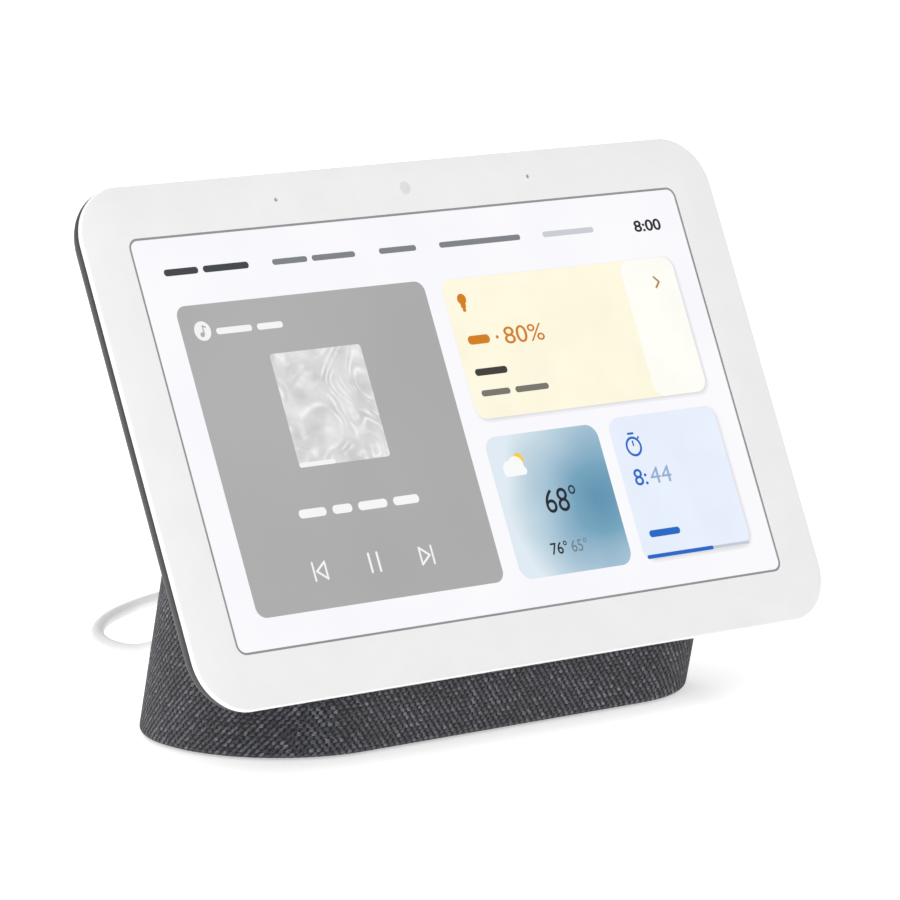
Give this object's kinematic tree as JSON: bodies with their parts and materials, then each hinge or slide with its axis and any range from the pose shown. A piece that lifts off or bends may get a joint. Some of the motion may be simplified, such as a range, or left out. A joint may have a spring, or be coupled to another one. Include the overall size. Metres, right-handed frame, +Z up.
{
  "type": "smart display",
  "caption": "Touch-screen display tilted back on a fabric-covered speaker base, with volume rocker, microphone slider and a pull-out mains lead.",
  "frame": {"origin": "centre of the rubber foot where it meets the table", "axes": "+X to the viewer's right, +Y away from the viewer, +Z up; the glass faces -Y and leans back 24 degrees"},
  "size_m": [0.1774, 0.1795, 0.1202],
  "materials": {
    "cover_glass": "polished",
    "white_print": "glossy under glass",
    "black_foam": "matte",
    "sensor_glass": "clear",
    "lcd_glass": "smooth",
    "clear_acrylic": "clear, frosted back",
    "pressed_steel": "bright pressed sheet",
    "black_plastic": "fine matte",
    "spreader_aluminium": "satin",
    "circuit_board": "solder mask",
    "chip_resin": "matte",
    "screw_steel": "zinc plated",
    "flex_film": "satin film",
    "sensor_window": "frosted",
    "antenna_copper": "bare copper",
    "grey_plastic": "fine grained matte",
    "orange_mark": "satin",
    "bracket_steel": "zinc plated",
    "housing_plastic": "matte",
    "knit_fabric": "tight twill knit, charcoal",
    "magnet_ferrite": "sintered",
    "speaker_paper": "pressed paper",
    "speaker_rubber": "soft",
    "spider_cloth": "resin-treated cloth",
    "wire_sheath": "smooth",
    "foot_rubber": "matte, non-slip",
    "white_plastic": "satin gloss",
    "cord_rubber": "smooth satin",
    "tie_fabric": "hook and loop strap",
    "blade_brass": "nickel plated"
  },
  "bodies": {
    "root": {"front_glass": "cover_glass", "bezel_print": "white_print", "glass_gasket": "black_foam", "touch_sensor": "sensor_glass", "lcd_panel": "lcd_glass", "light_guide": "clear_acrylic", "backlight_tray": "pressed_steel", "display_frame": "black_plastic", "heat_spreader": "spreader_aluminium", "main_board": "circuit_board", "board_chips": "chip_resin", "board_shield": "pressed_steel", "board_screws": "screw_steel", "lcd_ribbon": "flex_film", "microphone_boards": "circuit_board", "light_sensor": "sensor_window", "radar_board": "circuit_board", "antennas": "antenna_copper", "rear_cover": "grey_plastic", "cover_screws": "screw_steel", "rocker_pin": "screw_steel", "rocker_bracket": "pressed_steel", "volume_switch_board": "circuit_board", "mute_switch": "black_plastic", "neck_bracket": "bracket_steel", "neck_screws": "screw_steel", "housing_screws": "screw_steel", "speaker_housing": "housing_plastic", "fabric_sleeve": "knit_fabric", "speaker_gasket": "black_foam", "speaker_basket": "black_plastic", "speaker_magnet": "magnet_ferrite", "speaker_yoke": "bracket_steel", "speaker_surround": "speaker_rubber", "speaker_spider": "spider_cloth", "speaker_screws": "screw_steel", "ballast_weight": "bracket_steel", "power_board": "circuit_board", "dc_jack": "black_plastic", "jack_collar": "black_plastic", "head_harness": "wire_sheath", "speaker_wires": "wire_sheath", "base_plate": "black_plastic", "base_screws": "screw_steel", "rubber_foot": "foot_rubber"},
    "volume_rocker": {"volume_rocker": "grey_plastic"},
    "mute_slider": {"mute_slider": "grey_plastic", "mute_mark": "orange_mark"},
    "speaker_cone": {"speaker_cone": "speaker_paper", "voice_coil": "antenna_copper", "dust_cap": "speaker_paper"},
    "lead": {"dc_plug": "white_plastic", "plug_relief": "cord_rubber", "power_cord": "cord_rubber", "cord_coil": "cord_rubber", "coil_tie": "tie_fabric", "adapter_relief": "cord_rubber", "power_adapter": "white_plastic", "adapter_blades": "blade_brass"}
  },
  "joints": [
    {"name": "volume_rock", "type": "hinge", "parent": "root", "child": "volume_rocker", "pos_m": [0.072, -0.00855, 0.06772], "axis": [1, 0, 0], "range_deg": [-2, 2], "stiffness_Nm_per_rad": 0.6},
    {"name": "mute_slide", "type": "slide", "parent": "root", "child": "mute_slider", "axis": [1, 0, 0], "range_m": [0, 0.003]},
    {"name": "cone_stroke", "type": "slide", "parent": "root", "child": "speaker_cone", "axis": [0, 0.9711, 0.2385], "range_m": [-0.001, 0.001], "stiffness_N_per_m": 300, "deforming": ["speaker_surround", "speaker_spider"]},
    {"name": "plug_pull", "type": "slide", "parent": "root", "child": "lead", "axis": [0, 1, 0], "range_m": [0, 0.01]}
  ]
}
